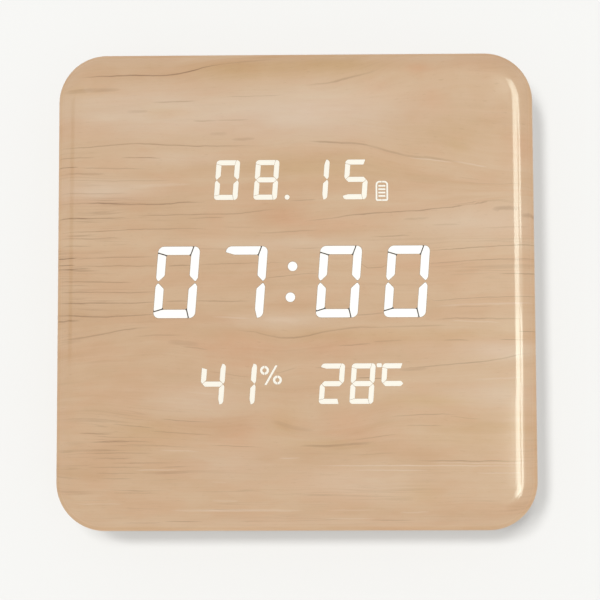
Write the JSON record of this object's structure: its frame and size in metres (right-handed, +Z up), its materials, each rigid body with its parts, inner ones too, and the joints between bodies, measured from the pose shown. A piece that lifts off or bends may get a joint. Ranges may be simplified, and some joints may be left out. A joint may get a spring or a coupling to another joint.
{
  "type": "wooden digital clock",
  "caption": "Square wooden digital clock with rounded corners, lit seven-segment readings for date, time, humidity and temperature, rear keys, a keyhole hanger and a fold-out stand.",
  "frame": {"origin": "middle of the underside, half way between the face and the rear rim", "axes": "+Z up, -Y out of the lit face, +Y out of the back, +X to the right of someone who looks at the face"},
  "size_m": [0.17, 0.03, 0.17],
  "materials": {
    "case_wood": "satin lacquered pale maple",
    "raw_wood": "sawn, unfinished",
    "lit_guide_white": "milky, lit",
    "lit_guide_cream": "milky, lit",
    "black_plastic": "moulded, matte",
    "cover_plastic": "moulded, fine texture",
    "key_plastic": "moulded, smooth",
    "circuit_board": "green solder mask",
    "screw_steel": "nickel plated",
    "cell_foil": "laminated foil",
    "foam_tape": "foam",
    "red_sleeve": "smooth",
    "black_sleeve": "smooth",
    "socket_plastic": "moulded nylon",
    "pad_rubber": "soft silicone"
  },
  "bodies": {
    "clock": {"wood_case": "case_wood", "corner_block_lower_left": "raw_wood", "corner_block_lower_right": "raw_wood", "corner_block_upper_left": "raw_wood", "corner_block_upper_right": "raw_wood", "time_light_guide": "lit_guide_white", "date_light_guide": "lit_guide_cream", "humidity_light_guide": "lit_guide_cream", "temperature_light_guide": "lit_guide_cream", "display_reflector": "black_plastic", "display_board": "circuit_board", "display_screw_lower_left": "screw_steel", "display_screw_lower_right": "screw_steel", "display_screw_upper_left": "screw_steel", "display_screw_upper_right": "screw_steel", "controller_chip": "black_plastic", "quartz_crystal": "screw_steel", "cell_tape": "foam_tape", "lithium_cell": "cell_foil", "cell_lead_red": "red_sleeve", "cell_lead_black": "black_sleeve", "cell_socket": "socket_plastic", "control_board": "circuit_board", "board_header": "black_plastic", "board_screw_left": "screw_steel", "board_screw_right": "screw_steel", "up_switch_housing": "black_plastic", "set_switch_housing": "black_plastic", "down_switch_housing": "black_plastic", "power_switch_housing": "screw_steel", "charging_port_shell": "screw_steel", "charging_port_insert": "black_plastic", "alarm_buzzer": "black_plastic", "humidity_sensor": "socket_plastic", "rear_cover": "cover_plastic", "cover_screw_lower_left": "screw_steel", "cover_screw_lower_right": "screw_steel", "cover_screw_upper_left": "screw_steel", "cover_screw_upper_right": "screw_steel", "stand_hinge_pin": "screw_steel"},
    "up_key": {"up_key_cap": "key_plastic", "up_switch_plunger": "socket_plastic"},
    "set_key": {"set_key_cap": "key_plastic", "set_switch_plunger": "socket_plastic"},
    "down_key": {"down_key_cap": "key_plastic", "down_switch_plunger": "socket_plastic"},
    "power_knob": {"power_switch_knob": "black_plastic"},
    "stand": {"stand_leg": "cover_plastic", "stand_foot_pad": "pad_rubber"}
  },
  "joints": [
    {"name": "up_key_press", "type": "slide", "parent": "clock", "child": "up_key", "axis": [0, -1, 0], "range_m": [0, 0.0005], "stiffness_N_per_m": 2000},
    {"name": "set_key_press", "type": "slide", "parent": "clock", "child": "set_key", "axis": [0, -1, 0], "range_m": [0, 0.0005], "stiffness_N_per_m": 2000},
    {"name": "down_key_press", "type": "slide", "parent": "clock", "child": "down_key", "axis": [0, -1, 0], "range_m": [0, 0.0005], "stiffness_N_per_m": 2000},
    {"name": "power_switch_slide", "type": "slide", "parent": "clock", "child": "power_knob", "axis": [1, 0, 0], "range_m": [0, 0.002]},
    {"name": "stand_hinge", "type": "hinge", "parent": "clock", "child": "stand", "pos_m": [0, 0.0112, 0.012], "axis": [-1, 0, 0], "range_deg": [0, 90]}
  ]
}
